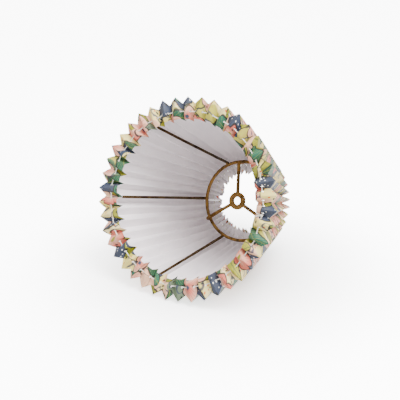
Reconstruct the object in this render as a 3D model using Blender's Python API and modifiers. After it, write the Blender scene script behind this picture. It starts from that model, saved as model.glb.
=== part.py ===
"""Accordion-pleated paper lampshade on a wire washer-and-spider fitter.

The script works in metres with +Z up; the driving dimensions below are in millimetres.
The shade stands on its mouth's fold tips at z = 0, with the small end and the fitter on top.
"""
import math

import bpy
import bmesh
from mathutils import Vector

for old in list(bpy.data.objects):
    bpy.data.objects.remove(old, do_unlink=True)

MM = 0.001

# ---- pleated paper ------------------------------------------------------------------------
PLEATS = 42                 # outer folds round the shade
STRIPS = 3                  # lapped strips, so 14 pleats in each
FOLD_STEP = 180.0 / PLEATS  # angle from one fold to the next
FIRST_INNER = 45.0          # an inner fold lies at this angle, and at every 60 degrees from it
PAPER_T = 0.45              # printed paper laminated to its white lining
# radius and height of the creases at the mouth's cut edge, its holes, its bend,
# the small end's bend and its cut edge
INNER = [(92.4, 13.0), (103.5, 8.9), (113.0, 5.5), (57.2, 157.0), (35.6, 166.8)]
OUTER = [(95.5, 4.2), (104.5, 0.0), (122.0, 3.5), (66.5, 161.9), (40.6, 176.0)]
HOLE = 3.4                  # punched holes for the cords
TOP_HOLE_AT = 0.60          # place of the small end's holes from its bend to its cut edge
LAP_START = 0.75            # where a strip starts in its first panel
LAP_LEVEL = 0.70            # where the tab below it has stepped down
LAP_END = 0.93              # where the tab ends
LAP_GAP = 0.41

# ---- wire fitter --------------------------------------------------------------------------
RING_R = 52.0
RING_Z = 153.8
RING_WIRE = 3.2
RING_POINTS = 48
HUB_OD, HUB_ID, HUB_T = 21.5, 11.1, 3.2
HUB_Z = 141.9
HUB_EDGE = 0.3
ARM_WIRE = 3.2
ARM_LEG_R = 50.6            # the bent leg stands under the ring
ARM_TURN = 3.2
ARM_ANGLES = (135.0, 15.0, 255.0)
WIRE_GAP = 0.35
RIB_WIRE = 2.4
RIB_CLEAR = 3.0             # rib's centre line inside the inner crease, at equal height
RIB_FOOT_Z, RIB_HEAD_Z = 10.0, 155.4
RIB_FEET = (44.0, 102.0, 164.0, 223.0, 281.0, 338.5)     # the ribs are set slightly askew
RIB_HEADS = (46.3, 109.5, 168.0, 226.5, 285.5, 343.7)

# ---- cords --------------------------------------------------------------------------------
CORD_D = 1.5
KNOT_D = 3.4
MOUTH_KNOT = 44             # panels that the knots come after
COLLAR_KNOT = 72


def collection(name):
    col = bpy.data.collections.new(name)
    bpy.context.scene.collection.children.link(col)
    return col


SHADE = collection("pleated_lampshade")
CUTTERS = collection("cutters")


def material(name, rgb, metallic, rough):
    mat = bpy.data.materials.new(name)
    mat.use_nodes = True
    bsdf = mat.node_tree.nodes["Principled BSDF"]
    bsdf.inputs["Base Color"].default_value = (*rgb, 1.0)
    bsdf.inputs["Metallic"].default_value = metallic
    bsdf.inputs["Roughness"].default_value = rough
    mat.diffuse_color = (*rgb, 1.0)
    return mat


def add_object(name, data, mat, col=SHADE):
    data.materials.append(mat)
    ob = bpy.data.objects.new(name, data)
    col.objects.link(ob)
    return ob


def lerp(a, b, t):
    return a + (b - a) * t


def polar(r, z, deg):
    """A point in metres from a radius and a height in millimetres."""
    a = math.radians(deg)
    return Vector((r * math.cos(a), r * math.sin(a), z)) * MM


# ---- wires --------------------------------------------------------------------------------
def wire(name, path, dia, mat, cyclic=False):
    """A round wire along a path of points, with closed ends."""
    cu = bpy.data.curves.new(name, "CURVE")
    cu.dimensions = "3D"
    cu.bevel_depth = dia / 2.0 * MM
    cu.bevel_resolution = 2
    cu.use_fill_caps = not cyclic
    spline = cu.splines.new("POLY")
    spline.points.add(len(path) - 1)
    for point, p in zip(spline.points, path):
        point.co = (*p, 1.0)
    spline.use_cyclic_u = cyclic
    return add_object(name, cu, mat)


def top_ring():
    path = [polar(RING_R, RING_Z, 360.0 * k / RING_POINTS) for k in range(RING_POINTS)]
    wire("top_ring", path, RING_WIRE, BRASS, cyclic=True)


def hub_washer():
    """A turned washer: its section runs down the outer side and back up the bore."""
    ro, ri, h, e = HUB_OD / 2.0, HUB_ID / 2.0, HUB_T / 2.0, HUB_EDGE
    section = [(ri + e, h), (ro - e, h), (ro, h - e), (ro, e - h), (ro - e, -h), (ri + e, -h),
               (ri, e - h), (ri, h - e)]
    me = bpy.data.meshes.new("hub_washer")
    n = len(section)
    me.from_pydata([polar(r, HUB_Z + z, 0.0) for r, z in section], [(k, (k + 1) % n) for k in range(n)], [])
    ob = add_object("hub_washer", me, BRASS)
    turn = ob.modifiers.new("turn", "SCREW")
    turn.steps = turn.render_steps = 32
    turn.use_merge_vertices = True
    turn.merge_threshold = 0.00001


def spider_arm(k, deg):
    """From the washer's edge out under the ring, then up in a short leg."""
    path = [polar(HUB_OD / 2.0 + WIRE_GAP, HUB_Z, deg)]
    for q in (0.0, 30.0, 60.0, 90.0):
        a = math.radians(q)
        path.append(polar(ARM_LEG_R - ARM_TURN + ARM_TURN * math.sin(a),
                          HUB_Z + ARM_TURN - ARM_TURN * math.cos(a), deg))
    path.append(polar(ARM_LEG_R, RING_Z - RING_WIRE / 2.0 - WIRE_GAP, deg))
    wire("spider_arm_%d" % k, path, ARM_WIRE, BRASS)


def rib(k, foot_deg, head_deg):
    """A straight wire just inside the inner folds, from the mouth's bend up past the ring."""
    (mouth_r, mouth_z), (bend_r, bend_z) = INNER[2:4]
    ends = []
    for z, deg in ((RIB_FOOT_Z, foot_deg), (RIB_HEAD_Z, head_deg)):
        r = lerp(mouth_r, bend_r, (z - mouth_z) / (bend_z - mouth_z)) - RIB_CLEAR
        ends.append(polar(r, z, deg))
    wire("rib_%d" % k, ends, RIB_WIRE, DARK)


# ---- the pleated sheet --------------------------------------------------------------------
def half_hole(part):
    """The share of an inner crease's part that half a punched hole takes."""
    (r0, z0), (r1, z1) = INNER[part:part + 2]
    return HOLE / 2.0 / math.hypot(r1 - r0, z1 - z0)


# the sheet's rows of points, counted in crease parts from the mouth's cut edge
TOP_HOLE = 3.0 + TOP_HOLE_AT
ROWS = [0.0, 1.0 - half_hole(0), 1.0 + half_hole(1), 2.0, 3.0,
        TOP_HOLE - half_hole(3), TOP_HOLE + half_hole(3), 4.0]
MOUTH_ROW, TOP_ROW = 1, 5   # the punched holes lie between this row and the next


def fold(j, t):
    """A point of fold line j at row t, where the even lines are outer folds."""
    line = INNER if j % 2 else OUTER
    part = min(3, int(t))
    (r0, z0), (r1, z1) = line[part:part + 2]
    return polar(lerp(r0, r1, t - part), lerp(z0, z1, t - part), FIRST_INNER + (j - 1) * FOLD_STEP)


def panel_normal(j, low, high):
    """The normal of the panel after fold j between two rows, pointing into the shade."""
    across = fold(j + 1, low) - fold(j, low)
    up = fold(j, high) + fold(j + 1, high) - fold(j, low) - fold(j + 1, low)
    return up.cross(across).normalized()


def into_shade(j, t):
    """One unit into the shade from the panel after fold j, mitred where the panel bends."""
    below = panel_normal(j, max(0.0, t - 0.01), max(0.01, t))
    above = panel_normal(j, min(3.99, t), min(4.0, t + 0.01))
    return (below + above) / (1.0 + below.dot(above))


def columns(first):
    """Each column's fold, its share of the way across the panel, and which side of a hole it is (-1, 1)."""
    last = first + 2 * PLEATS // STRIPS
    cols = [(first, LAP_START, 0)]
    for j in range(first + 1, last + 1):
        cols += [(j, 0.0, 0), (j, 0.5, -1), (j, 0.5, 1)]
    return cols + [(last, LAP_LEVEL, 0), (last, LAP_END, 0)], last


def strip(k):
    """An open sheet in 14 pleats, drawn in at both ends, with its holes left out, then thickened inwards.

    Its last panel steps down into a tab that lies under the start of the next strip.
    """
    cols, last = columns(2 * PLEATS // STRIPS * k)
    name = "pleated_strip_%d" % (k + 1)
    bm = bmesh.new()
    grid = []
    for t in ROWS:
        row = []
        for j, share, side in cols:
            a, b = fold(j, t), fold(j + 1, t)
            share += side * HOLE / 2.0 * MM / (b - a).length
            p = a.lerp(b, share)
            if j == last and share >= LAP_LEVEL:
                p += into_shade(j, t) * (PAPER_T + LAP_GAP) * MM
            row.append(bm.verts.new(p))
        grid.append(row)
    for r in range(len(ROWS) - 1):
        for c in range(len(cols) - 1):
            if r in (MOUTH_ROW, TOP_ROW) and cols[c][2] == -1:
                continue
            bm.faces.new((grid[r][c], grid[r][c + 1], grid[r + 1][c + 1], grid[r + 1][c]))
    me = bpy.data.meshes.new(name)
    bm.to_mesh(me)
    bm.free()
    ob = add_object(name, me, PAPER)
    wall = ob.modifiers.new("thickness", "SOLIDIFY")
    wall.thickness = PAPER_T * MM
    wall.offset = -1.0
    wall.use_even_offset = True
    wall.use_quality_normals = True


# ---- cords --------------------------------------------------------------------------------
def hole_middle(j, row):
    pts = [fold(f, ROWS[r]) for f in (j, j + 1) for r in (row, row + 1)]
    mid = sum(pts, Vector()) / 4.0
    return mid + into_shade(j, ROWS[row]) * PAPER_T / 2.0 * MM


def cord(name, row, knot_after):
    """A laced cord, held by every hole: one closed loop with its knot between two panels."""
    path = [hole_middle(j, row) for j in range(2 * PLEATS)]
    loop = wire(name + "_loop", path, CORD_D, COTTON, cyclic=True)
    depsgraph = bpy.context.evaluated_depsgraph_get()
    me = bpy.data.meshes.new_from_object(loop.evaluated_get(depsgraph))
    bpy.data.objects.remove(loop)
    me.name = name
    me.materials.clear()
    ob = add_object(name, me, COTTON)
    knot_mesh = bpy.data.meshes.new(name + "_knot")
    bm = bmesh.new()
    bmesh.ops.create_icosphere(bm, subdivisions=1, radius=KNOT_D / 2.0 * MM)
    bm.to_mesh(knot_mesh)
    bm.free()
    knot = add_object(name + "_knot", knot_mesh, COTTON, CUTTERS)
    knot.location = (path[knot_after] + path[knot_after + 1]) / 2.0
    knot.hide_render = True
    knot.display_type = "WIRE"
    join = ob.modifiers.new("knot", "BOOLEAN")
    join.operation = "UNION"
    join.solver = "EXACT"
    join.object = knot


BRASS = material("antique_brass", (0.38, 0.24, 0.09), 1.0, 0.38)
DARK = material("dark_brass", (0.17, 0.10, 0.045), 1.0, 0.45)
COTTON = material("cotton_cord", (0.82, 0.80, 0.74), 0.0, 0.9)
PAPER = material("printed_paper", (0.78, 0.72, 0.58), 0.0, 0.75)

top_ring()
hub_washer()
for number, angle in enumerate(ARM_ANGLES, 1):
    spider_arm(number, angle)
for number, (foot, head) in enumerate(zip(RIB_FEET, RIB_HEADS), 1):
    rib(number, foot, head)
for number in range(STRIPS):
    strip(number)
cord("mouth_cord", MOUTH_ROW, MOUTH_KNOT)
cord("collar_cord", TOP_ROW, COLLAR_KNOT)
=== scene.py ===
"""Looks of the accordion-pleated paper lampshade: printed paper, white lining, laced cords, brass fitter."""
import math
import random

import bpy
import bmesh
from mathutils import Matrix, Vector, noise


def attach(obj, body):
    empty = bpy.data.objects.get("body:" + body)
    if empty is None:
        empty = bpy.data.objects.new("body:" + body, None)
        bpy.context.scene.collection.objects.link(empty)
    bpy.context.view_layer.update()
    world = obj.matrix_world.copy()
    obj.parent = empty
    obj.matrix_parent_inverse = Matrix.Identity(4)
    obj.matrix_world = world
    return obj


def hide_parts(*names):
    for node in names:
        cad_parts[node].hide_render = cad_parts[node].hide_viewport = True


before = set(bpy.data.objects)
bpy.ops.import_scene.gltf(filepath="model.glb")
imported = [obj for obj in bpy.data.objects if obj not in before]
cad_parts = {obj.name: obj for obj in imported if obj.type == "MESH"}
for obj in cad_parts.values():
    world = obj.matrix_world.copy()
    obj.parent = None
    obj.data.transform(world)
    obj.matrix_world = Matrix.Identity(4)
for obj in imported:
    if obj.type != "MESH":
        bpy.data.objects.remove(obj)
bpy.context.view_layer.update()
MM = 0.001

# ---- sizes of the pleated paper, in millimetres, as the frame has them ----------------------
PLEATS = 42
STRIPS = 3
FOLD_STEP = 180.0 / PLEATS
FIRST_INNER = 45.0
# radius and height of the creases at the mouth's cut edge, its holes, its bend,
# the small end's bend and its cut edge
INNER = [(92.4, 13.0), (103.5, 8.9), (113.0, 5.5), (57.2, 157.0), (35.6, 166.8)]
OUTER = [(95.5, 4.2), (104.5, 0.0), (122.0, 3.5), (66.5, 161.9), (40.6, 176.0)]
PAPER_T = 0.36
HOLE = 2.6
TOP_HOLE = 1.7
TOP_HOLE_AT = 0.60
LAP_START = 0.75
LAP_LEVEL = 0.70
LAP_END = 0.93
LAP_DROP = 0.86
FLECK_DEPTH = 4.5           # how far from the small end's cut edge the print still shows inside
PETAL = 0.30                # share of a panel that lies flat on top of a ridge at the mouth's edge

# ---- sizes of the fitter --------------------------------------------------------------------
RING_R, RING_Z, RING_WIRE = 52.0, 153.8, 4.0
HUB_OD, HUB_ID, HUB_T, HUB_Z = 23.0, 10.4, 3.4, 141.9
ARM_WIRE, ARM_LEG_R, ARM_TURN = 4.6, 50.6, 3.4
ARM_ANGLES = (135.0, 15.0, 255.0)
RIB_WIRE, RIB_CLEAR = 3.4, 3.0
RIB_FOOT_Z, RIB_HEAD_Z = 10.0, 155.4
RIB_FEET = (44.0, 102.0, 164.0, 223.0, 281.0, 338.5)
RIB_HEADS = (46.3, 109.5, 168.0, 226.5, 285.5, 343.7)
CORD_D = 1.3
MOUTH_KNOT, COLLAR_KNOT = 44, 72     # the panels that the knots follow


def lerp(a, b, t):
    return a + (b - a) * t


def smooth(t):
    t = min(1.0, max(0.0, t))
    return t * t * (3.0 - 2.0 * t)


def polar(r, z, deg):
    """A point in metres from a radius and a height in millimetres."""
    a = math.radians(deg)
    return Vector((r * math.cos(a), r * math.sin(a), z)) * MM


# ---- camera ---------------------------------------------------------------------------------
CAMERA_AT = Vector((-0.4144, -0.3996, -0.9653))
CAMERA_AIM = Vector((0.3570, 0.3437, 0.8686))
CAMERA_UP = Vector((-0.6730, 0.7394, -0.0158))
LENS = 86.0


def make_camera():
    data = bpy.data.cameras.new("camera")
    data.lens = LENS
    data.sensor_width = 36.0
    data.clip_end = 50.0
    cam = bpy.data.objects.new("camera", data)
    bpy.context.scene.collection.objects.link(cam)
    back = -CAMERA_AIM.normalized()
    right = CAMERA_UP.cross(back).normalized()
    up = back.cross(right)
    turn = Matrix((right, up, back)).transposed().to_4x4()
    cam.matrix_world = Matrix.Translation(CAMERA_AT) @ turn
    bpy.context.scene.camera = cam
    return up, right, back


VIEW_UP, VIEW_RIGHT, VIEW_BACK = make_camera()


# ---- node helpers ---------------------------------------------------------------------------
class Nodes:
    """Short names for the nodes of one tree."""

    def __init__(self, tree):
        self.tree = tree

    def add(self, kind, **settings):
        node = self.tree.nodes.new(kind)
        for key, value in settings.items():
            setattr(node, key, value)
        return node

    def put(self, socket, value):
        if isinstance(value, bpy.types.NodeSocket):
            self.tree.links.new(value, socket)
        elif value is not None:
            socket.default_value = value

    def math(self, op, a, b=None, c=None, clamp=False):
        node = self.add("ShaderNodeMath", operation=op, use_clamp=clamp)
        for socket, value in zip(node.inputs, (a, b, c)):
            self.put(socket, value)
        return node.outputs[0]

    def vmath(self, op, a, b=None, scale=None, out=0):
        node = self.add("ShaderNodeVectorMath", operation=op)
        self.put(node.inputs[0], a)
        if b is not None:
            self.put(node.inputs[1], b)
        if scale is not None:
            self.put(node.inputs["Scale"], scale)
        return node.outputs[out]

    def mix(self, share, a, b, blend="MIX"):
        node = self.add("ShaderNodeMix", data_type="RGBA", blend_type=blend)
        self.put(node.inputs["Factor"], share)
        self.put(node.inputs["A"], a)
        self.put(node.inputs["B"], b)
        return node.outputs["Result"]

    def edge(self, value, low, high, top=1.0, bottom=0.0):
        """Runs from bottom to top as value runs from low to high, smoothly."""
        node = self.add("ShaderNodeMapRange", interpolation_type="SMOOTHSTEP")
        for socket, v in zip(node.inputs, (value, low, high, bottom, top)):
            self.put(socket, v)
        return node.outputs[0]

    def noise(self, at, scale, detail=2.0, rough=0.5, out="Fac"):
        node = self.add("ShaderNodeTexNoise")
        self.put(node.inputs["Vector"], at)
        self.put(node.inputs["Scale"], scale)
        self.put(node.inputs["Detail"], detail)
        self.put(node.inputs["Roughness"], rough)
        return node.outputs[out]

    def cells(self, at, scale, spread=1.0, feature="F1"):
        node = self.add("ShaderNodeTexVoronoi", voronoi_dimensions="2D", feature=feature)
        self.put(node.inputs["Vector"], at)
        self.put(node.inputs["Scale"], scale)
        self.put(node.inputs["Randomness"], spread)
        return node

    def parts(self, vector):
        node = self.add("ShaderNodeSeparateXYZ")
        self.put(node.inputs[0], vector)
        return node.outputs

    def vector(self, x, y, z=0.0):
        node = self.add("ShaderNodeCombineXYZ")
        for socket, v in zip(node.inputs, (x, y, z)):
            self.put(socket, v)
        return node.outputs[0]


def make_group(name, inputs, outputs):
    """A shader group with named sockets; returns the tree, its Nodes, its inputs and its output node."""
    tree = bpy.data.node_groups.new(name, "ShaderNodeTree")
    kinds = {"v": "NodeSocketVector", "f": "NodeSocketFloat", "c": "NodeSocketColor"}
    for label, kind, value in inputs:
        socket = tree.interface.new_socket(label, in_out="INPUT", socket_type=kinds[kind])
        if value is not None:
            socket.default_value = value
    for label, kind in outputs:
        tree.interface.new_socket(label, in_out="OUTPUT", socket_type=kinds[kind])
    n = Nodes(tree)
    return tree, n, n.add("NodeGroupInput").outputs, n.add("NodeGroupOutput").inputs


def use_group(n, tree, **values):
    node = n.add("ShaderNodeGroup", node_tree=tree)
    for label, value in values.items():
        n.put(node.inputs[label], value)
    return node.outputs


def linear(r, g, b):
    """A colour from its usual 0 to 255 screen values."""
    return tuple(((c / 255.0 + 0.055) / 1.055) ** 2.4 if c > 10 else c / 3294.6 for c in (r, g, b)) + (1.0,)


CREAM = linear(214, 196, 112)
PALE = linear(224, 206, 150)
BLUSH = linear(218, 166, 142)
SALMON = linear(190, 88, 74)
ROSE = linear(146, 44, 40)
OLIVE = linear(120, 118, 16)
LIME = linear(158, 152, 44)
GREEN = linear(6, 66, 46)
TEAL = linear(14, 90, 70)
SLATE = linear(40, 52, 76)
INK = linear(14, 18, 28)
ORANGE = linear(206, 92, 24)
WHITE = linear(240, 238, 230)


def flower_group():
    """Loose round blooms: a mask, the share of vein lines, the outline, and a random number each."""
    tree, n, given, out = make_group(
        "bloom",
        [("At", "v", None), ("Scale", "f", 30.0), ("Petals", "f", 5.0), ("Size", "f", 0.4), ("Wave", "f", 0.12)],
        [("Mask", "f"), ("Veins", "f"), ("Outline", "f"), ("Heart", "f"), ("Pick", "f"), ("Depth", "f")])
    at = n.vmath("SCALE", given["At"], scale=given["Scale"])
    cell = n.cells(at, 1.0, 0.75)
    local = n.parts(n.vmath("SUBTRACT", at, cell.outputs["Position"]))
    pick = n.parts(cell.outputs["Color"])
    far = n.math("SQRT", n.math("ADD", n.math("MULTIPLY", local[0], local[0]), n.math("MULTIPLY", local[1], local[1])))
    turn = n.math("MULTIPLY_ADD", pick[0], 6.283, n.math("ARCTAN2", local[1], local[0]))
    lobe = n.math("ABSOLUTE", n.math("COSINE", n.math("MULTIPLY", turn, n.math("DIVIDE", given["Petals"], 2.0))))
    lobe = n.math("POWER", lobe, 0.6)
    rim = n.math("MULTIPLY_ADD", given["Wave"], lobe, n.math("MULTIPLY", given["Size"],
                                                          n.math("MULTIPLY_ADD", pick[1], 0.35, 0.7)))
    gap = n.math("SUBTRACT", rim, far)
    n.put(out["Mask"], n.edge(gap, -0.004, 0.008))
    n.put(out["Outline"], n.math("SUBTRACT", 1.0, n.edge(n.math("ABSOLUTE", gap), 0.012, 0.032)))
    ray = n.math("ABSOLUTE", n.math("SINE", n.math("MULTIPLY", turn, n.math("MULTIPLY", given["Petals"], 2.5))))
    vein = n.math("SUBTRACT", 1.0, n.edge(ray, 0.05, 0.35))
    n.put(out["Veins"], n.math("MULTIPLY", vein, n.edge(gap, 0.03, 0.12)))
    n.put(out["Heart"], n.math("SUBTRACT", 1.0, n.edge(far, 0.06, 0.085)))
    n.put(out["Pick"], pick[2])
    n.put(out["Depth"], n.edge(gap, 0.0, 0.35))
    return tree


def leaf_group():
    """Pointed leaves at random turns: a mask, midrib and side veins, the outline, and a random number."""
    tree, n, given, out = make_group(
        "leaf",
        [("At", "v", None), ("Scale", "f", 40.0), ("Long", "f", 0.48), ("Wide", "f", 0.22), ("Way", "f", 0.0)],
        [("Mask", "f"), ("Veins", "f"), ("Outline", "f"), ("Pick", "f"), ("Along", "f")])
    at = n.vmath("SCALE", given["At"], scale=given["Scale"])
    cell = n.cells(at, 1.0, 0.8)
    local = n.parts(n.vmath("SUBTRACT", at, cell.outputs["Position"]))
    pick = n.parts(cell.outputs["Color"])
    turn = n.math("MULTIPLY_ADD", pick[0], 6.283, given["Way"])
    c, s = n.math("COSINE", turn), n.math("SINE", turn)
    x = n.math("ADD", n.math("MULTIPLY", local[0], c), n.math("MULTIPLY", local[1], s))
    y = n.math("SUBTRACT", n.math("MULTIPLY", local[1], c), n.math("MULTIPLY", local[0], s))
    share = n.math("DIVIDE", x, given["Long"])
    body = n.math("SUBTRACT", 1.0, n.math("MULTIPLY", share, share), clamp=True)
    half = n.math("MULTIPLY", given["Wide"], n.math("POWER", body, 0.8))
    away = n.math("ABSOLUTE", y)
    gap = n.math("SUBTRACT", half, away)
    n.put(out["Mask"], n.edge(gap, 0.0, 0.01))
    line = n.math("MULTIPLY", n.edge(body, 0.0, 0.08),
                  n.math("SUBTRACT", 1.0, n.edge(n.math("ABSOLUTE", gap), 0.012, 0.032)))
    n.put(out["Outline"], line)
    rib = n.math("SUBTRACT", 1.0, n.edge(away, 0.008, 0.022))
    side = n.math("ABSOLUTE", n.math("SINE", n.math("MULTIPLY", n.math("SUBTRACT", x, away), 30.0)))
    side = n.math("MULTIPLY", n.math("SUBTRACT", 1.0, n.edge(side, 0.1, 0.4)), n.edge(gap, 0.015, 0.05))
    n.put(out["Veins"], n.math("MAXIMUM", rib, n.math("MULTIPLY", side, 0.7)))
    n.put(out["Pick"], pick[1])
    n.put(out["Along"], share)
    return tree


def dots_group():
    """Small round dots, spread on a loose grid."""
    tree, n, given, out = make_group(
        "dots", [("At", "v", None), ("Scale", "f", 300.0), ("Size", "f", 0.2), ("Share", "f", 1.0)], [("Mask", "f")])
    cell = n.cells(n.vmath("SCALE", given["At"], scale=given["Scale"]), 1.0, 0.6)
    dot = n.math("SUBTRACT", 1.0, n.edge(cell.outputs["Distance"], n.math("MULTIPLY", given["Size"], 0.75),
                                        given["Size"]))
    kept = n.math("LESS_THAN", n.parts(cell.outputs["Color"])[0], given["Share"])
    n.put(out["Mask"], n.math("MULTIPLY", dot, kept))
    return tree


BLOOM, LEAF, DOTS = flower_group(), leaf_group(), dots_group()
BLOOM_SHARE = 0.36          # share of the print's cells that hold a bloom


def print_group():
    """The paper's all-over block print of blooms and leaves on a cream ground, laid out in metres."""
    tree, n, given, out = make_group("garden_print", [("At", "v", None)], [("Color", "c"), ("Ink", "f")])
    at = given["At"]
    wobble = n.vmath("SUBTRACT", n.noise(at, 70.0, 2.0, 0.5, "Color"), (0.5, 0.5, 0.5))
    drawn = n.vmath("ADD", at, n.vmath("SCALE", wobble, scale=0.006))

    def shifted(x, y):
        return n.vmath("ADD", drawn, (x, y, 0.0))

    ground = n.mix(n.edge(n.noise(at, 22.0, 2.0), 0.40, 0.62), CREAM, PALE)
    specks = use_group(n, DOTS, At=shifted(0.013, 0.002), Scale=165.0, Size=0.17, Share=0.55)["Mask"]
    colour = n.mix(specks, ground, ORANGE)
    ink = specks

    def lay(mask, tint, outline=None, line=INK):
        nonlocal colour, ink
        colour = n.mix(mask, colour, tint)
        if outline is not None:
            colour = n.mix(n.math("MULTIPLY", outline, 0.95), colour, line)
        ink = n.math("MAXIMUM", ink, mask)

    def shown(mask, pick, share):
        return n.math("MULTIPLY", mask, n.math("LESS_THAN", pick, share))

    # washes of soft colour behind everything
    washes = (((0.31, 0.12), 19.0, BLUSH, 0.52), ((0.57, 0.43), 22.0, LIME, 0.30), ((0.87, 0.23), 21.0, TEAL, 0.20))
    for (x, y), scale, tint, share in washes:
        wash = use_group(n, BLOOM, At=shifted(x, y), Scale=scale, Petals=4.0, Size=0.34, Wave=0.16)
        lay(n.math("MULTIPLY", shown(wash["Mask"], wash["Pick"], share), 0.85), tint)
    # curling stems
    bend = n.math("SUBTRACT", n.noise(shifted(0.6, 0.2), 52.0, 1.0), 0.5)
    stem = n.math("SUBTRACT", 1.0, n.edge(n.math("ABSOLUTE", bend), 0.010, 0.022))
    lay(n.math("MULTIPLY", stem, 0.9), SLATE)
    # leaves: olive, then slate with white dots, then deep green on top
    leaves = (
        ((0.11, 0.05), 27.0, 0.25, 0.60, OLIVE, LIME, GREEN, 0.65),
        ((0.23, 0.37), 29.0, 0.27, 0.56, SLATE, SLATE, INK, 0.25),
        ((0.71, 0.19), 27.0, 0.25, 0.46, GREEN, TEAL, LIME, 0.35),
    )
    for turn, ((x, y), scale, wide, share, body, tip, vein, vein_share) in enumerate(leaves):
        leaf = use_group(n, LEAF, At=shifted(x, y), Scale=scale, Long=0.56, Wide=wide, Way=1.3 * turn)
        tint = n.mix(n.edge(leaf["Along"], -0.5, 0.7), body, tip)
        tint = n.mix(n.math("MULTIPLY", leaf["Veins"], vein_share), tint, vein)
        if body is SLATE:
            spots = use_group(n, DOTS, At=shifted(0.003, 0.004), Scale=210.0, Size=0.15, Share=0.45)["Mask"]
            tint = n.mix(spots, tint, WHITE)
        lay(shown(leaf["Mask"], leaf["Pick"], share), tint, shown(leaf["Outline"], leaf["Pick"], share))
    # blooms: a five-petalled one and a smaller one of four
    blooms = (
        ((0.05, 0.27), 23.0, 5.0, 0.26, 0.14, SALMON, BLUSH, OLIVE),
        ((0.43, 0.09), 27.0, 4.0, 0.24, 0.16, BLUSH, SALMON, SLATE),
    )
    for (x, y), scale, petals, size, wave, rim, middle, heart in blooms:
        bloom = use_group(n, BLOOM, At=shifted(x, y), Scale=scale, Petals=petals, Size=size, Wave=wave)
        petal = n.mix(bloom["Depth"], rim, middle)
        petal = n.mix(n.math("MULTIPLY", bloom["Veins"], 0.75), petal, ROSE)
        petal = n.mix(bloom["Heart"], petal, heart)
        lay(shown(bloom["Mask"], bloom["Pick"], BLOOM_SHARE), petal,
            shown(bloom["Outline"], bloom["Pick"], BLOOM_SHARE))
    # sprigs of small dots over the gaps
    sprig = use_group(n, DOTS, At=shifted(0.4, 0.7), Scale=95.0, Size=0.15, Share=0.35)["Mask"]
    lay(n.math("MULTIPLY", sprig, 0.9), INK)
    # the press leaves uneven ink
    uneven = n.edge(n.noise(at, 900.0, 3.0, 0.6), 0.30, 0.55, 1.0, 0.96)
    n.put(out["Color"], n.mix(n.math("SUBTRACT", 1.0, uneven), colour, PALE))
    n.put(out["Ink"], ink)
    return tree


GARDEN = print_group()


def fibre_group():
    """Fine paper tooth and soft handling marks, as a height."""
    tree, n, given, out = make_group("paper_tooth", [("At", "v", None)], [("Height", "f"), ("Mottle", "f")])
    fine = n.noise(given["At"], 2600.0, 4.0, 0.6)
    soft = n.noise(given["At"], 160.0, 3.0, 0.5)
    n.put(out["Height"], n.math("ADD", n.math("MULTIPLY", fine, 0.35), n.math("MULTIPLY", soft, 0.65)))
    n.put(out["Mottle"], n.noise(given["At"], 38.0, 4.0, 0.6))
    return tree


TOOTH = fibre_group()


def new_material(name):
    mat = bpy.data.materials.new(name)
    mat.use_nodes = True
    n = Nodes(mat.node_tree)
    return mat, n, mat.node_tree.nodes["Principled BSDF"]


def sheet_at(n):
    return n.add("ShaderNodeUVMap", uv_map="flat_sheet").outputs[0]


def paper_material(name, printed):
    """Matte paper."""
    mat, n, bsdf = new_material(name)
    at = sheet_at(n)
    tooth = use_group(n, TOOTH, At=at)
    if printed:
        print_ = use_group(n, GARDEN, At=at)
        colour = n.mix(n.edge(tooth["Mottle"], 0.35, 0.70, 0.0, 0.03), print_["Color"], PALE)
        rough = n.edge(print_["Ink"], 0.0, 1.0, 0.58, 0.72)
    else:
        colour = n.mix(n.edge(tooth["Mottle"], 0.30, 0.70), linear(243, 236, 237), linear(236, 229, 231))
        rough = n.edge(tooth["Mottle"], 0.2, 0.8, 0.82, 0.70)
    n.put(bsdf.inputs["Base Color"], colour)
    n.put(bsdf.inputs["Roughness"], rough)
    bsdf.inputs["Specular IOR Level"].default_value = 0.25
    bump = n.add("ShaderNodeBump")
    bump.inputs["Strength"].default_value = 0.25
    bump.inputs["Distance"].default_value = 0.0002
    n.put(bump.inputs["Height"], tooth["Height"])
    n.put(bsdf.inputs["Normal"], bump.outputs[0])
    return mat


def brass_material(name, clean, dull, rough):
    """Antiqued brass wire: dull brown patina, rubbed brighter in patches."""
    mat, n, bsdf = new_material(name)
    at = n.add("ShaderNodeTexCoord").outputs["Object"]
    patches = n.noise(at, 90.0, 4.0, 0.6)
    streaks = n.noise(n.vmath("MULTIPLY", at, (1.0, 1.0, 4.0)), 500.0, 3.0, 0.6)
    worn = n.edge(n.math("ADD", n.math("MULTIPLY", patches, 0.7), n.math("MULTIPLY", streaks, 0.3)), 0.32, 0.60)
    n.put(bsdf.inputs["Base Color"], n.mix(worn, dull, clean))
    n.put(bsdf.inputs["Roughness"], n.edge(worn, 0.0, 1.0, rough, rough + 0.22))
    bsdf.inputs["Metallic"].default_value = 1.0
    bump = n.add("ShaderNodeBump")
    bump.inputs["Strength"].default_value = 0.3
    bump.inputs["Distance"].default_value = 0.00015
    n.put(bump.inputs["Height"], streaks)
    n.put(bsdf.inputs["Normal"], bump.outputs[0])
    return mat


def cord_material():
    mat, n, bsdf = new_material("cotton_cord")
    at = n.add("ShaderNodeTexCoord").outputs["Object"]
    fuzz = n.noise(at, 2400.0, 4.0, 0.65)
    n.put(bsdf.inputs["Base Color"], n.mix(n.edge(fuzz, 0.3, 0.7), linear(206, 200, 184), linear(240, 237, 226)))
    bsdf.inputs["Roughness"].default_value = 0.9
    bump = n.add("ShaderNodeBump")
    bump.inputs["Strength"].default_value = 0.5
    bump.inputs["Distance"].default_value = 0.0002
    n.put(bump.inputs["Height"], fuzz)
    n.put(bsdf.inputs["Normal"], bump.outputs[0])
    return mat


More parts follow.
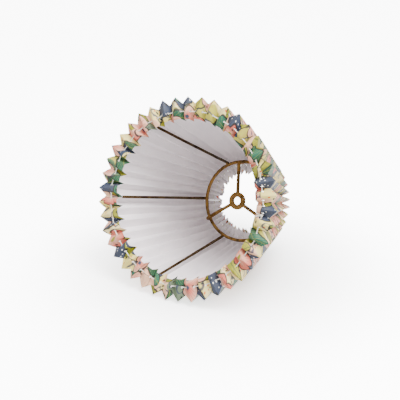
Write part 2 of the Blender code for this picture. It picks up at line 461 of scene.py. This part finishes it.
PRINTED = paper_material("printed_paper", True)
LINING = paper_material("white_lining", False)
BRASS = brass_material("antique_brass", linear(134, 102, 54), linear(88, 63, 32), 0.54)
DARK_BRASS = brass_material("dark_brass_wire", linear(84, 66, 40), linear(50, 38, 24), 0.60)
SOLDER = brass_material("brass_solder", linear(132, 102, 58), linear(80, 58, 30), 0.46)
COTTON = cord_material()


# ---- pieces ---------------------------------------------------------------------------------
def deselect():
    for ob in bpy.context.selected_objects:
        ob.select_set(False)


def ride(ob, slot, *nodes):
    """Every piece rides on the one body and may stand for CAD nodes, which are hidden; the slot argument is not used.
    """
    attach(ob, "root")
    if nodes:
        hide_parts(*nodes)
    return ob


def apply_place(ob):
    ob.data.transform(ob.matrix_basis)
    ob.matrix_basis = Matrix.Identity(4)


def finish_piece(ob, name, mat, angle=35.0):
    """Names a modelled piece, applies its place and modifiers, and shades it."""
    deselect()
    ob.name = ob.data.name = name
    bpy.context.view_layer.objects.active = ob
    ob.select_set(True)
    for mod in list(ob.modifiers):
        bpy.ops.object.modifier_apply(modifier=mod.name)
    apply_place(ob)
    ob.data.materials.clear()
    ob.data.materials.append(mat)
    bpy.ops.object.shade_smooth_by_angle(angle=math.radians(angle))
    return ob


def wire_mesh(name, path, dia, mat, sides=3, cyclic=False):
    """A smooth round wire along a path, as a mesh."""
    cu = bpy.data.curves.new(name, "CURVE")
    cu.dimensions = "3D"
    cu.bevel_depth = dia / 2.0 * MM
    cu.bevel_resolution = sides
    cu.use_fill_caps = not cyclic
    spline = cu.splines.new("POLY")
    spline.points.add(len(path) - 1)
    for point, p in zip(spline.points, path):
        point.co = (*p, 1.0)
    spline.use_cyclic_u = cyclic
    ob = bpy.data.objects.new(name, cu)
    bpy.context.scene.collection.objects.link(ob)
    deselect()
    bpy.context.view_layer.objects.active = ob
    ob.select_set(True)
    bpy.ops.object.convert(target="MESH")
    ob = bpy.context.view_layer.objects.active
    bpy.ops.object.mode_set(mode="EDIT")
    bpy.ops.mesh.select_all(action="SELECT")
    bpy.ops.mesh.remove_doubles(threshold=0.000005)
    bpy.ops.mesh.normals_make_consistent(inside=False)
    bpy.ops.object.mode_set(mode="OBJECT")
    return finish_piece(ob, name, mat, 40.0)


LUMP_SCALE = 900.0          # fineness of the lumps in a blob of solder, per metre


def blob(name, at, size, stretch_to, mat):
    """A small lump of solder drawn out along a direction."""
    bpy.ops.mesh.primitive_ico_sphere_add(subdivisions=3, radius=size * MM, location=at)
    ob = bpy.context.active_object
    ob.rotation_mode = "QUATERNION"
    ob.rotation_quaternion = Vector(stretch_to).to_track_quat("Z", "Y")
    ob.scale = (1.0, 1.0, 1.45)
    lumps = Vector(at) * LUMP_SCALE
    for v in ob.data.vertices:
        v.co *= 1.0 + 0.16 * noise.noise(v.co * LUMP_SCALE + lumps)
    return finish_piece(ob, name, mat, 60.0)


def make_ring():
    deselect()
    bpy.ops.mesh.primitive_torus_add(major_segments=144, minor_segments=16, major_radius=RING_R * MM,
                                     minor_radius=RING_WIRE / 2.0 * MM, location=(0, 0, RING_Z * MM))
    ob = bpy.context.active_object
    # the wire was bent by hand, so it wavers slightly
    for v in ob.data.vertices:
        a = math.atan2(v.co.y, v.co.x)
        v.co *= 1.0 + 0.0016 * math.sin(2.0 * a + 0.7) + 0.0008 * math.sin(5.0 * a)
    ride(finish_piece(ob, "ring_wire", BRASS), "brass_ring", "top_ring")


def make_washer():
    deselect()
    bpy.ops.mesh.primitive_cylinder_add(vertices=96, radius=HUB_OD / 2.0 * MM, depth=HUB_T * MM,
                                        location=(0, 0, HUB_Z * MM))
    ob = bpy.context.active_object
    bpy.ops.object.mode_set(mode="EDIT")
    bpy.ops.mesh.select_mode(type="FACE")
    bpy.ops.mesh.select_all(action="DESELECT")
    bm = bmesh.from_edit_mesh(ob.data)
    for f in bm.faces:
        f.select_set(abs(f.normal.z) > 0.9)
    bmesh.update_edit_mesh(ob.data)
    bpy.ops.mesh.inset(thickness=(HUB_OD - HUB_ID) / 2.0 * MM, depth=0.0, use_boundary=True)
    bpy.ops.mesh.bridge_edge_loops()
    bpy.ops.object.mode_set(mode="OBJECT")
    bevel = ob.modifiers.new("edges", "BEVEL")
    bevel.width = 0.45 * MM
    bevel.segments = 3
    bevel.limit_method = "ANGLE"
    bevel.angle_limit = math.radians(50.0)
    ride(finish_piece(ob, "washer", BRASS, 40.0), "brass_hub", "hub_washer")


def make_arm(k, deg):
    path = [polar(HUB_OD / 2.0 - 0.6, HUB_Z, deg), polar(20.0, HUB_Z - 0.1, deg + 0.3), polar(34.0, HUB_Z, deg)]
    for q in range(0, 91, 15):
        a = math.radians(q)
        path.append(polar(ARM_LEG_R - ARM_TURN + ARM_TURN * math.sin(a),
                          HUB_Z + ARM_TURN - ARM_TURN * math.cos(a), deg))
    path.append(polar(ARM_LEG_R + 0.2, RING_Z - 1.2, deg))
    ride(wire_mesh("arm_%d" % k, path, ARM_WIRE, BRASS, 5), "brass_ring", "spider_arm_%d" % k)
    out = polar(1.0, 0.0, deg)
    ride(blob("hub_solder_%d" % k, polar(HUB_OD / 2.0 + 0.2, HUB_Z, deg), 1.9, out, SOLDER), "brass_hub")
    ride(blob("ring_solder_%d" % k, polar(RING_R - 0.7, RING_Z - 1.7, deg), 1.8, (0, 0, 1), SOLDER), "brass_ring")


def rib_point(k, share):
    """A point of a rib's centre line, from its foot at the mouth to its head at the ring."""
    ends = []
    (mouth_r, mouth_z), (bend_r, bend_z) = INNER[2:4]
    for z, deg in ((RIB_FOOT_Z, RIB_FEET[k]), (RIB_HEAD_Z, RIB_HEADS[k])):
        r = lerp(mouth_r, bend_r, (z - mouth_z) / (bend_z - mouth_z)) - RIB_CLEAR
        ends.append(polar(r, z, deg))
    return ends[0].lerp(ends[1], share)


def make_rib(k):
    path = []
    for i in range(15):
        t = i / 14.0
        inward = rib_point(k, t)
        inward.z = 0.0
        bow = 0.25 * math.sin(math.pi * t) * (1.0 + math.sin(2.1 * k))
        path.append(rib_point(k, t) - inward.normalized() * (bow * MM))
    ride(wire_mesh("rib_wire_%d" % (k + 1), path, RIB_WIRE, DARK_BRASS, 4), "dark_brass", "rib_%d" % (k + 1))
    at = rib_point(k, (RING_Z - RIB_FOOT_Z) / (RIB_HEAD_Z - RIB_FOOT_Z))
    inward = Vector((-at.x, -at.y, 0.0)).normalized()
    along = rib_point(k, 1.0) - rib_point(k, 0.9)
    ride(blob("rib_solder_%d" % (k + 1), at + inward * (1.6 * MM) - Vector((0.0, 0.0, 0.9 * MM)), 1.5, along, SOLDER),
         "dark_brass")


# ---- the pleated paper ----------------------------------------------------------------------
draw = random.Random(42)
FOLD_LEAN = [draw.uniform(-1.0, 1.0) for _ in range(2 * PLEATS)]
FOLD_REACH = [draw.uniform(-1.0, 1.0) for _ in range(2 * PLEATS)]
FOLD_RISE = [draw.uniform(-1.0, 1.0) for _ in range(2 * PLEATS)]
EDGE_LEAN = [draw.uniform(-1.0, 1.0) for _ in range(2 * PLEATS)]
PANEL_BOW = [draw.uniform(-1.0, 1.0) for _ in range(2 * PLEATS)]


def part_length(line, part):
    (r0, z0), (r1, z1) = line[part:part + 2]
    return math.hypot(r1 - r0, z1 - z0)


LENGTHS = [part_length(INNER, part) for part in range(4)]
SHEET_HEIGHT = sum(LENGTHS)


def run_of(t):
    """How far up the flat sheet row t lies, in millimetres."""
    part = min(3, int(t))
    return sum(LENGTHS[:part]) + (t - part) * LENGTHS[part]


def fold(j, t):
    """Radius, height and angle of fold j at row t, with the slips of hand folding."""
    i = j % (2 * PLEATS)
    line = INNER if j % 2 else OUTER
    part = min(3, int(t))
    (r0, z0), (r1, z1) = line[part:part + 2]
    r, z = lerp(r0, r1, t - part), lerp(z0, z1, t - part)
    mouth = 1.0 - smooth((t - 1.2) / 1.5)
    small_end = smooth((t - 2.9) / 1.1)
    loose = 0.35 + 0.65 * mouth
    deg = FIRST_INNER + (j - 1) * FOLD_STEP
    deg += loose * 0.55 * FOLD_LEAN[i] + 1.1 * EDGE_LEAN[i] * (1.0 - smooth(t / 2.0)) + 1.3 * EDGE_LEAN[i] * small_end
    if j % 2 == 0:
        r += (1.8 + 2.2 * EDGE_LEAN[i]) * small_end
        z -= 1.0 * small_end
    r += (loose * 1.0 + 0.6 * small_end) * FOLD_REACH[i] + 0.3 * noise.noise(Vector((i * 1.7, t * 2.0, 5.0)))
    z += 0.9 * FOLD_RISE[i] * (1.0 - smooth(t / 1.6)) + 1.0 * FOLD_RISE[i] * small_end
    return r, max(0.25, z), deg


def panel_point(j, share, t):
    """A point of the sheet's printed face on the panel after fold j, in metres."""
    ra, za, da = fold(j, t)
    rb, zb, db = fold(j + 1, t)
    # at the mouth the ridges open into flat-topped petals, and the valleys between them pinch
    petal = 1.0 - smooth(t / 1.9)
    from_ridge = share if j % 2 == 0 else 1.0 - share
    top = lerp(0.02, PETAL, petal)
    turn_top, depth_top = lerp(top, 0.52, petal), lerp(top, 0.04, petal)
    if from_ridge <= top:
        turn, depth = from_ridge / top * turn_top, from_ridge / top * depth_top
    else:
        rest = (from_ridge - top) / (1.0 - top)
        turn, depth = lerp(turn_top, 1.0, rest), lerp(depth_top, 1.0, rest)
    pinch = 0.75 * smooth((t - 2.75) / 0.35)
    turn = lerp(turn, turn ** 0.55 * 0.96, pinch)
    if j % 2:
        turn, depth = 1.0 - turn, 1.0 - depth
    # a panel is straight between its folds, not part of a drum
    across = (db - da) * (turn - 0.5)
    half = math.radians((db - da) / 2.0)
    sag = math.cos(half) / max(0.2, math.cos(math.radians(across)))
    return polar(lerp(ra, rb, depth) * sag ** 0.6, lerp(za, zb, depth), lerp(da, db, turn))


def sheet_point(j, share, t, last):
    """The same with the panel's soft bow, the collar's crumples, and the lap's step at a strip's end."""
    p = panel_point(j, share, t)
    lo, hi = max(0.0, t - 0.01), min(4.0, t + 0.01)
    across = panel_point(j, min(1.0, share + 0.01), t) - panel_point(j, max(0.0, share - 0.01), t)
    up = panel_point(j, share, hi) - panel_point(j, share, lo)
    inward = up.cross(across).normalized()
    i = j % (2 * PLEATS)
    bow = math.sin(math.pi * min(1.0, max(0.0, share)))
    ripple = noise.noise(p * 55.0 + Vector((i * 5.0, 0.0, 0.0)))
    crumple = smooth((t - 2.93) / 0.3)
    p += inward * (bow * (0.35 * PANEL_BOW[i] + 0.35 * ripple + crumple * 0.9 * ripple) * MM)
    if j == last and share >= LAP_LEVEL - 0.01:
        p += inward * (LAP_DROP * MM)
    p.z = max(p.z, 0.0003)
    return p


# where a panel's columns stand: close beside each crease, a little further off, and round its hole
CREASE, BESIDE = 0.035, 0.18
SHARES = (0.0, CREASE, BESIDE, -1.0, 0.5, 1.0, 0.82, 0.965)


def strip_columns(first):
    """Columns of one strip: fold number and share of its panel; -1 and 1 mark a hole's sides."""
    last = first + 2 * PLEATS // STRIPS
    cols = [(first, LAP_START, 0), (first, 0.86, 0), (first, 0.965, 0)]
    for j in range(first + 1, last):
        for share in SHARES:
            cols.append((j, 0.5, int(share)) if abs(share) == 1.0 else (j, share, 0))
    cols += [(last, 0.0, 0), (last, CREASE, 0), (last, BESIDE, 0), (last, 0.5, -1), (last, 0.5, 0), (last, 0.5, 1),
             (last, LAP_LEVEL, 0), (last, 0.80, 0), (last, LAP_END, 0)]
    return cols, last


def hole_size(t):
    """How wide a hole is at row t: the small end's holes are smaller."""
    return lerp(HOLE, TOP_HOLE, smooth((t - 2.0) / 1.2))


def strip_rows():
    """Rows of the sheet and which of them are a hole's lower edge, middle and upper edge."""
    rows = [(t, None) for t in (0.0, 0.06, 0.3, 0.6)]
    rows += [(1.0 - HOLE / 2.0 / LENGTHS[0], -1), (1.0, 0), (1.0 + HOLE / 2.0 / LENGTHS[1], 1)]
    rows += [(t, None) for t in (1.35, 1.6, 1.8, 1.92, 2.0, 2.006, 2.014, 2.03, 2.05, 2.08, 2.12)]
    rows += [(2.0 + k * 0.04, None) for k in range(4, 24)]
    rows += [(t, None) for t in (2.955, 2.975, 2.99, 3.0, 3.05, 3.15, 3.27, 3.4)]
    half = TOP_HOLE / 2.0 / LENGTHS[3]
    middle = 3.0 + TOP_HOLE_AT
    rows += [(middle - half, -1), (middle, 0), (middle + half, 1)]
    return rows + [(t, None) for t in (3.75, 3.84, 3.93, 4.0)]


def flat_share(j, share, t):
    """Where a column crosses the panel at row t: the petals' creases spread towards the mouth's edge."""
    petal = 1.0 - smooth(t / 1.9)
    ridge = share if j % 2 == 0 else 1.0 - share
    if abs(ridge - CREASE) < 1e-6:
        ridge = lerp(CREASE, PETAL, petal)
    elif abs(ridge - BESIDE) < 1e-6:
        ridge = lerp(BESIDE, PETAL + 0.04, petal)
    return ridge if j % 2 == 0 else 1.0 - ridge


def panel_width(j, t):
    return (panel_point(j + 1, 0.0, t) - panel_point(j, 0.0, t)).length


def make_strip(k):
    """One strip of paper: a flat grid, folded, punched, and given its thickness."""
    first = 2 * PLEATS // STRIPS * k
    cols, last = strip_columns(first)
    rows = strip_rows()
    deselect()
    bpy.ops.mesh.primitive_grid_add(x_subdivisions=len(cols) - 1, y_subdivisions=len(rows) - 1, size=2.0)
    ob = bpy.context.active_object
    me = ob.data
    me.uv_layers[0].name = "flat_sheet"
    width = [panel_width(first + q, 2.5) for q in range(last - first + 1)]
    starts = [0.0]
    for w in width:
        starts.append(starts[-1] + w)
    nc = len(cols)
    holes, flat = [], []
    for r, (t, hole_row) in enumerate(rows):
        for c, (j, share, side) in enumerate(cols):
            half = hole_size(t) / 2.0 * MM / panel_width(j, t)
            if side and hole_row:
                # a hole's corner points draw in to make it round
                middle = 1.0 if t < 2.0 else 3.0 + TOP_HOLE_AT
                at, at_t = 0.5 + side * half * 0.7071, middle + (t - middle) * 0.7071
            elif side:
                at, at_t = 0.5 + side * half, t
            else:
                at, at_t = flat_share(j, share, t), t
            me.vertices[r * nc + c].co = sheet_point(j, at, at_t, last)
            flat.append((starts[j - first] + at * width[j - first] + 0.9 * k, run_of(at_t) * MM))
            if hole_row == 0 and not side and share == 0.5:
                holes.append(r * nc + c)
    for loop in me.loops:
        me.uv_layers[0].data[loop.index].uv = flat[loop.vertex_index]
    # punch the holes by taking out the points at their middles
    bm = bmesh.new()
    bm.from_mesh(me)
    bm.verts.ensure_lookup_table()
    bmesh.ops.delete(bm, geom=[bm.verts[v] for v in holes], context="VERTS")
    bmesh.ops.recalc_face_normals(bm, faces=bm.faces)
    bm.faces.ensure_lookup_table()
    widest = max(bm.faces, key=lambda f: f.calc_area())
    centre = widest.calc_center_median()
    if widest.normal.dot(Vector((centre.x, centre.y, 0.0))) < 0.0:
        bmesh.ops.reverse_faces(bm, faces=bm.faces)
    bm.to_mesh(me)
    bm.free()
    me.materials.clear()
    me.materials.append(PRINTED)
    me.materials.append(LINING)
    wall = ob.modifiers.new("thickness", "SOLIDIFY")
    wall.thickness = PAPER_T * MM
    wall.offset = -1.0
    wall.use_quality_normals = True
    wall.material_offset = 1
    wall.material_offset_rim = 1
    bpy.context.view_layer.objects.active = ob
    ob.select_set(True)
    bpy.ops.object.modifier_apply(modifier=wall.name)
    # print shows in short flecks where the small end's cut edge flares
    at = me.uv_layers["flat_sheet"].data
    for face in me.polygons:
        u = sum(at[i].uv[0] for i in face.loop_indices) / face.loop_total
        low = min(at[i].uv[1] for i in face.loop_indices)
        if low > (SHEET_HEIGHT - FLECK_DEPTH) * MM and noise.noise(Vector((u * 160.0, 3.0, low * 300.0))) > 0.16:
            face.material_index = 0
    ob.name = me.name = "paper_strip_%d" % (k + 1)
    bpy.ops.object.shade_smooth_by_angle(angle=math.radians(28.0))
    ride(ob, "printed_paper", "pleated_strip_%d" % (k + 1))
    return ob


# ---- the laced cords ------------------------------------------------------------------------
def two_ply(name, path, dia, lay, mat, cyclic=True):
    """A cord of two strands wound round each other along a closed or open path."""
    points = []
    n = len(path)
    spans = n if cyclic else n - 1
    for i in range(spans):
        a, b = path[i], path[(i + 1) % n]
        for q in range(8):
            points.append(a.lerp(b, q / 8.0))
    if not cyclic:
        points.append(path[-1])
    run = [0.0]
    for a, b in zip(points, points[1:]):
        run.append(run[-1] + (b - a).length)
    total = run[-1] + ((points[0] - points[-1]).length if cyclic else 0.0)
    turns = max(1, round(total / (lay * MM)))
    strands = []
    m = len(points)
    for strand in range(2):
        line = []
        for i, p in enumerate(points):
            ahead = points[(i + 1) % m] if cyclic or i < m - 1 else p
            behind = points[(i - 1) % m] if cyclic or i > 0 else p
            t = (ahead - behind).normalized()
            side = t.cross(Vector((0, 0, 1)))
            side = side.normalized() if side.length > 0.1 else Vector((1, 0, 0))
            lift = side.cross(t)
            a = 2.0 * math.pi * turns * run[i] / total + math.pi * strand
            line.append(p + (side * math.cos(a) + lift * math.sin(a)) * (dia * 0.25 * MM))
        strands.append(wire_mesh("%s_%d" % (name, strand), line, dia * 0.56, mat, 1, cyclic))
    deselect()
    for ob in strands:
        ob.select_set(True)
    bpy.context.view_layer.objects.active = strands[0]
    bpy.ops.object.join()
    ob = strands[0]
    ob.name = ob.data.name = name
    return ob


def make_cord(name, t, knot_after, node):
    path = [sheet_point(j, 0.5, t, -1) for j in range(2 * PLEATS)]
    ob = two_ply(name, path, CORD_D, 4.2, COTTON)
    ride(ob, "cotton_cord", node)
    a, b = path[knot_after], path[knot_after + 1]
    middle = (a + b) / 2.0
    along = (b - a).normalized()
    inward = Vector((-middle.x, -middle.y, 0.0)).normalized()
    down = Vector((0.0, 0.0, -1.0))
    loop = []
    for q in range(28):
        t = 2.0 * math.pi * q / 28.0
        loop.append(middle + (along * math.sin(t) + inward * math.sin(2 * t) * 0.8 + down * math.cos(3 * t) * 0.5)
                    * (1.15 * MM))
    ride(two_ply(name + "_knot", loop, 1.3, 3.0, COTTON), "cotton_cord")
    for sign in (-1.0, 1.0):
        tail = [middle + inward * (0.4 * MM)]
        for q in range(1, 6):
            tail.append(middle + inward * ((0.4 + 1.1 * q) * MM) + along * (sign * 0.35 * q * MM)
                        + down * (0.12 * q * q * MM))
        ride(two_ply("%s_tail_%d" % (name, 1 if sign > 0 else 2), tail, 1.2, 3.4, COTTON, False), "cotton_cord")


# ---- stage ----------------------------------------------------------------------------------
FLOOR_TONE = linear(246, 246, 247)
FLOOR_GLOW = 8.0
BACKDROP_GLOW = 6.5
ROOM_LIGHT = 1.8
LYING_PITCH = math.radians(22.0)
MIDDLE = Vector((0, 0, 0.08))
KEY_POWER, OVERHEAD_POWER, FILL_POWER = 56.0, 20.0, 8.0


def stage_material(name, foot):
    """A pale matte surface that shows from its front only, with a painted shadow: its glow turns greyer round the
    shade's foot.
    """
    mat = bpy.data.materials.new(name)
    mat.use_nodes = True
    n = Nodes(mat.node_tree)
    bsdf = mat.node_tree.nodes["Principled BSDF"]
    bsdf.inputs["Base Color"].default_value = FLOOR_TONE
    bsdf.inputs["Roughness"].default_value = 0.9
    bsdf.inputs["Specular IOR Level"].default_value = 0.1
    bsdf.inputs["Emission Strength"].default_value = FLOOR_GLOW
    at = n.add("ShaderNodeTexCoord").outputs["Object"]
    # painted shadow: the glow's colour drops towards near black within 0.3 m of the shade's foot, standing in for the
    # shade's contact shadow
    far = n.edge(n.vmath("DISTANCE", at, tuple(foot), out="Value"), 0.02, 0.30)
    n.put(bsdf.inputs["Emission Color"], n.mix(far, (0.05, 0.048, 0.047, 1.0), (1.0, 1.0, 1.0, 1.0)))
    n.put(bsdf.inputs["Alpha"], n.math("SUBTRACT", 1.0, n.add("ShaderNodeNewGeometry").outputs["Backfacing"]))
    return mat


def stage_plane(name, size, at, normal, mat):
    deselect()
    bpy.ops.mesh.primitive_plane_add(size=size, location=at)
    ob = bpy.context.active_object
    ob.rotation_mode = "QUATERNION"
    ob.rotation_quaternion = Vector(normal).to_track_quat("Z", "Y")
    ob.name = name
    bpy.context.view_layer.update()
    ob.data.transform(ob.matrix_world)
    ob.matrix_world = Matrix.Identity(4)
    ob.data.materials.append(mat)
    ob.visible_shadow = False
    ob.visible_diffuse = False
    ob.visible_glossy = False
    ob.visible_transmission = False
    return ob


def area_light(name, at, size, power):
    """A soft round lamp that points at the middle of the shade."""
    data = bpy.data.lights.new(name, "AREA")
    data.shape = "DISK"
    data.size = size
    data.energy = power
    ob = bpy.data.objects.new(name, data)
    ob.location = at
    ob.rotation_mode = "QUATERNION"
    ob.rotation_quaternion = (MIDDLE - Vector(at)).to_track_quat("-Z", "Y")
    bpy.context.scene.collection.objects.link(ob)


def make_stage():
    stage_plane("floor", 6.0, (0, 0, 0), (0, 0, 1), stage_material("stage_floor_shadow_painted", (0, 0, 0)))
    # a second surface that the shade would lie on when tipped on its side
    normal = (VIEW_UP * math.cos(LYING_PITCH) + VIEW_BACK * math.sin(LYING_PITCH)).normalized()
    outward = Vector((-normal.x, -normal.y, 0.0)).normalized()
    touch = max((outward * r + Vector((0, 0, z))) * MM @ -normal for r, z in OUTER)
    foot = MIDDLE - normal * (MIDDLE.dot(normal) + touch)
    stage_plane("lying_floor", 5.0, foot, normal, stage_material("tipped_floor_shadow_painted", foot))
    world = bpy.data.worlds.new("studio")
    world.use_nodes = True
    n = Nodes(world.node_tree)
    backdrop = world.node_tree.nodes["Background"]
    backdrop.inputs["Color"].default_value = (1.0, 1.0, 1.0, 1.0)
    # the backdrop itself looks as white as the floor, without lighting the shade any harder
    seen = n.add("ShaderNodeLightPath").outputs["Is Camera Ray"]
    n.put(backdrop.inputs["Strength"], n.math("MULTIPLY_ADD", seen, BACKDROP_GLOW - ROOM_LIGHT, ROOM_LIGHT))
    bpy.context.scene.world = world
    area_light("key", MIDDLE + normal * 1.3 + VIEW_RIGHT * 0.45 + VIEW_BACK * 0.55, 0.9, KEY_POWER)
    area_light("overhead", (0.3, -0.4, 1.6), 1.4, OVERHEAD_POWER)
    area_light("fill", MIDDLE + VIEW_BACK * 0.9 + VIEW_RIGHT * 0.75 + VIEW_UP * 0.45, 0.8, FILL_POWER)


for number, angle in enumerate(ARM_ANGLES, 1):
    make_arm(number, angle)
for number in range(len(RIB_FEET)):
    make_rib(number)
make_ring()
make_washer()
for number in range(STRIPS):
    make_strip(number)
make_cord("mouth_lacing", 1.0, MOUTH_KNOT, "mouth_cord")
make_cord("collar_lacing", 3.0 + TOP_HOLE_AT, COLLAR_KNOT, "collar_cord")
make_stage()

bpy.context.view_layer.update()
